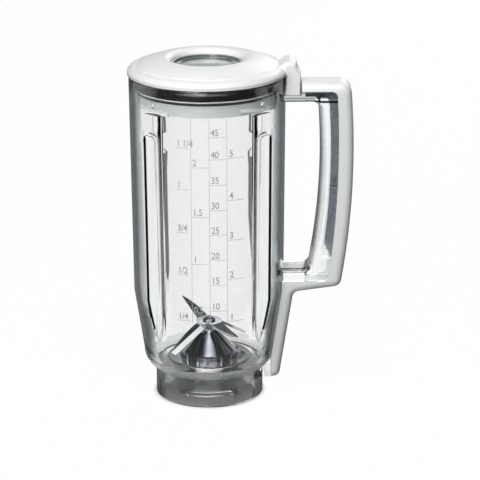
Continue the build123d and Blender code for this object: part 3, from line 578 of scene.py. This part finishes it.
def upright_line(along):
    """A long thin bar from the scale's foot to its top, cut at the shoulder so that it follows the wall."""
    work = bmesh.new()
    bmesh.ops.create_cube(work, size=1)
    for vertex in work.verts:
        x, y, z = vertex.co
        up = SCALE_FOOT + (SCALE_TOP - SCALE_FOOT) * (z + 0.5)
        vertex.co = (along + LINE_W * x, PRINT_LIFT + PRINT_T * (y + 0.5), up)
    whole = work.verts[:] + work.edges[:] + work.faces[:]
    bmesh.ops.bisect_plane(work, geom=whole, plane_co=(0, 0, SHOULDER_Z), plane_no=(0, 0, 1))
    return mesh_of("upright", work)


def printed_scale():
    """All the print as one piece."""
    tree = tick_tree()
    flats = [upright_line(along) for along in SCALE_LINES]
    for left, right, marks in TICK_COLUMNS:
        flats.append(tick_column(tree, left, right, marks))
        for up, text in marks.items():
            flats.append(numeral(text, left + NUMERAL_IN, up + NUMERAL_UP))
    work = bmesh.new()
    for flat in flats:
        wrap(flat)
        work.from_mesh(flat)
        bpy.data.meshes.remove(flat)
    bmesh.ops.recalc_face_normals(work, faces=work.faces)
    mesh = mesh_of("scale_print", work)
    mesh.materials.append(ink)
    return placed("scale_print", mesh)


scale_print = printed_scale()
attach(scale_print, BODY_OF["jar"])

# Lid seal, as radius and height in millimetres: the slope of its upper lip throws a thin streak of light
SEAL_PROFILE = (
    (49.6, 238.9), (49.6, 230.0), (51.0, 230.0), (51.0, 230.8), (52.3, 231.6), (52.3, 232.4), (51.0, 233.2),
    (51.0, 233.6), (52.2, 234.1), (52.3, 234.6), (51.4, 236.9), (51.0, 237.0), (51.0, 238.9),
)
# Skirt under the plug's bead: a dark ring that stands in for the bead's shadow, as painted shade
SHADOW_SKIRT_PROFILE = (
    (49.65, 226.9), (49.65, 229.3), (51.25, 229.3), (51.45, 229.0), (51.45, 228.3), (50.7, 227.2),
)
RING_STEPS, RING_SHARP_DEG = 192, 25


def turned_ring(name, profile, finish):
    """A closed ring turned from a profile, on the lid's body."""
    work = bmesh.new()
    turns = [2 * math.pi * step / RING_STEPS for step in range(RING_STEPS)]
    rings = [
        [work.verts.new(Vector((r * math.cos(turn), r * math.sin(turn), z)) * MM) for turn in turns]
        for r, z in profile
    ]
    for ring, after in zip(rings, rings[1:] + rings[:1]):
        for step in range(RING_STEPS):
            beside = (step + 1) % RING_STEPS
            face = work.faces.new((ring[step], ring[beside], after[beside], after[step]))
            face.smooth = True
    bmesh.ops.recalc_face_normals(work, faces=work.faces)
    for edge in work.edges:
        edge.smooth = edge.calc_face_angle(0) < math.radians(RING_SHARP_DEG)
    mesh = mesh_of(name, work)
    mesh.materials.append(finish)
    piece = placed(name, mesh)
    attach(piece, BODY_OF["lid"])
    return piece


two_lips = turned_ring("lid_seal_lips", SEAL_PROFILE, lid_rubber)
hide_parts("lid_seal")
# The skirt is a dark ring standing in for the shadow under the bead
turned_ring("lid_seal_skirt", SHADOW_SKIRT_PROFILE, seal_rubber)

# White sweep, with painted shadow under and round the collar: two places in millimetres, in depth or from the
# axis, and the brightness at each
SHADOW_UNDER_COLLAR = (-35.0, 15.0, 0.3, 0.03)
SHADOW_ROUND_COLLAR = (42.0, 90.0, 0.42, 1.0)
THROWN_FRONT = (-120.0, -30.0, 0.04, 0.85)

# Edge of the painted shadow under the collar, the paper's brightness in the open and in gloss, its tints and
# size
COLLAR_EDGE = (37.0, 42.0)
PAPER_WHITE, PAPER_IN_GLOSS = 0.98, 0.12
WHITE, PAPER_OPEN, PAPER_PAINTED_SHADOW, PAPER_UNSEEN = "#FFFFFF", "#F4F4F4", "#303030", "#5A5A5A"
FLOOR_HALF_M, FLOOR_DROP_MM = 6.0, 0.2

# A ray's count of bounces is above this once it has had one
ONE_BOUNCE = 0.5

# Studio round the sweep: two values of a direction's Y or Z, and the brightness or lift at each
BACKDROP_LIFT = (0.55, 0.95, 0.0, -0.7)
HORIZON_FADE = (0.03, 0.15, 1.0, 0.02)
FRONT_FADE = (-0.4, 0.0, 0.04, 1.0)
GLOSS_SHARE, DULL_FILL = 0.3, 0.05

# Bright panels in steel and gloss: direction, squeeze along each axis, size of core and rim, brightness
SOFTBOX = ((0.0, -0.373, 0.928), (2.2, 2.2, 2.2), 0.2, 0.75, 4.5)
STRIP = ((-0.08, -0.90, 0.43), (1.0, 1.0, 4.0), 0.25, 0.7, 16.0)

# Lamps: place, width and height in metres, power in watts
LAMPS = {
    "key": ((0.0, -0.62, 1.55), 0.9, 0.6, 14.4),
    "front fill": ((-0.7, -1.6, 0.7), 0.8, 0.8, 20.0),
    "back fill": ((0.7, 1.4, 0.85), 0.9, 0.8, 11.0),
}

# Camera: sensor, distance and the width of one pixel at the axis in millimetres, shift in pixels
SENSOR_MM, CAMERA_MM, PIXEL_MM, PICTURE_PX = 36.0, 1700.0, 0.72, 480
SHIFT_X_PX, SHIFT_Y_PX = 31.62, -7.4
TILT_DEG, ROLL_DEG = 17.735, -0.475
AIM = Vector((0, 0, 0.120))
VIEW_END_M = 50


def straight_through(tree, path):
    """1 for rays that come through clear walls without touching a dull surface, else 0."""
    undisturbed = worked(tree, "LESS_THAN", path["Diffuse Depth"], ONE_BOUNCE)
    return worked(tree, "MULTIPLY", path["Is Transmission Ray"], undisturbed)


def floor_paint():
    """White paper: white in the picture and through the wall, with a faint shadow, and painted shadow under
    and round the jar.
    """
    mat, tree = material("white paper sweep")
    path = node(tree, "ShaderNodeLightPath").outputs
    place = object_place(tree)
    far, depth = vector_length(tree, place), axes(tree, place)["Y"]
    # Painted shadow: the paper is darker under the collar, more towards the back, and dimmer round it through
    # the wall and in gloss
    under = spread_mm(tree, far, *COLLAR_EDGE, spread_mm(tree, depth, *SHADOW_UNDER_COLLAR), PAPER_WHITE)
    thrown = worked(tree, "GREATER_THAN", path["Glossy Depth"], ONE_BOUNCE)
    back = blend(tree, thrown, 1.0, spread_mm(tree, depth, *THROWN_FRONT))
    lit = worked(tree, "MULTIPLY", back, spread_mm(tree, far, *SHADOW_ROUND_COLLAR))
    inner = worked(tree, "MULTIPLY_ADD", path["Is Glossy Ray"], PAPER_IN_GLOSS, straight_through(tree, path))
    seen = worked(tree, "ADD", path["Is Camera Ray"], worked(tree, "MULTIPLY", inner, lit))
    shade = blend_colour(tree, under, linear(PAPER_PAINTED_SHADOW), linear(PAPER_OPEN))
    tone = blend_colour(tree, seen, linear(PAPER_UNSEEN), shade)
    paper = node(tree, "ShaderNodeBsdfDiffuse", {"Color": tone}).outputs["BSDF"]
    white = node(tree, "ShaderNodeEmission", {"Color": linear(WHITE), "Strength": 1.0}).outputs["Emission"]
    surface(tree, blend_shader(tree, worked(tree, "MULTIPLY", seen, under, use_clamp=True), paper, white))
    return mat


def build_floor():
    """A wide flat sheet just under the collar's foot."""
    work = bmesh.new()
    bmesh.ops.create_grid(work, x_segments=1, y_segments=1, size=FLOOR_HALF_M)
    mesh = mesh_of("floor", work)
    mesh.materials.append(floor_paint())
    sheet = placed("floor", mesh)
    sheet.location.z = -FLOOR_DROP_MM * MM


def bright_panel(tree, way, toward, squeeze, core, rim, strength):
    """A soft-edged bright patch of the studio in one direction."""
    off = node(tree, "ShaderNodeVectorMath", {0: way, 1: toward}, operation="SUBTRACT").outputs["Vector"]
    shaped = node(tree, "ShaderNodeVectorMath", {0: off, 1: squeeze}, operation="MULTIPLY").outputs["Vector"]
    return spread(tree, vector_length(tree, shaped), core, rim, strength, 0.0)


def build_world():
    """White to the eye and at the horizon, dim overhead but for two panels, a low fill on dull surfaces."""
    world = bpy.data.worlds.new("studio")
    bpy.context.scene.world = world
    world.use_nodes = True
    tree = world.node_tree
    tree.nodes.clear()
    path = node(tree, "ShaderNodeLightPath").outputs
    way = node(tree, "ShaderNodeTexCoord").outputs["Generated"]
    parts = axes(tree, way)
    raised = worked(tree, "ADD", parts["Z"], spread(tree, parts["Y"], *BACKDROP_LIFT))
    horizon = spread(tree, raised, *HORIZON_FADE)
    dome = worked(tree, "MULTIPLY", horizon, spread(tree, parts["Y"], *FRONT_FADE))
    panels = worked(tree, "MAXIMUM", bright_panel(tree, way, *STRIP), bright_panel(tree, way, *SOFTBOX))
    studio = worked(tree, "MAXIMUM", dome, panels)
    fill = blend(tree, path["Is Glossy Ray"], DULL_FILL, worked(tree, "MULTIPLY", studio, GLOSS_SHARE))
    inside = blend(tree, straight_through(tree, path), fill, studio)
    shown = blend(tree, path["Is Camera Ray"], inside, 1.0)
    back = node(tree, "ShaderNodeBackground", {"Color": linear(WHITE), "Strength": shown})
    node(tree, "ShaderNodeOutputWorld", {"Surface": back.outputs["Background"]})


def soft_lamp(name, place, wide, tall, watts):
    """A rectangular soft lamp, seen neither by the camera nor through the clear walls."""
    lamp = bpy.data.lights.new(name, "AREA")
    lamp.shape = "RECTANGLE"
    lamp.size, lamp.size_y, lamp.energy = wide, tall, watts
    holder = placed(name, lamp)
    holder.location = place
    holder.rotation_euler = (AIM - Vector(place)).to_track_quat("-Z", "Y").to_euler()
    holder.visible_camera = False
    holder.visible_transmission = False


def build_camera():
    """A long lens at the height fitted from the rim and foot of the jar."""
    lens = bpy.data.cameras.new("camera")
    lens.sensor_width = SENSOR_MM
    lens.lens = SENSOR_MM * CAMERA_MM / PIXEL_MM / PICTURE_PX
    lens.shift_x, lens.shift_y = SHIFT_X_PX / PICTURE_PX, SHIFT_Y_PX / PICTURE_PX
    lens.clip_end = VIEW_END_M
    holder = placed("camera", lens)
    tilt = math.radians(TILT_DEG)
    holder.location = AIM + CAMERA_MM * MM * Vector((0, -math.cos(tilt), math.sin(tilt)))
    look = (AIM - holder.location).to_track_quat("-Z", "Y").to_matrix()
    holder.rotation_euler = (look @ Matrix.Rotation(math.radians(ROLL_DEG), 3, "Z")).to_euler()
    bpy.context.scene.camera = holder


build_floor()
build_world()
for name, lamp in LAMPS.items():
    soft_lamp(name, *lamp)
build_camera()
bpy.context.scene.view_settings.view_transform = "Standard"
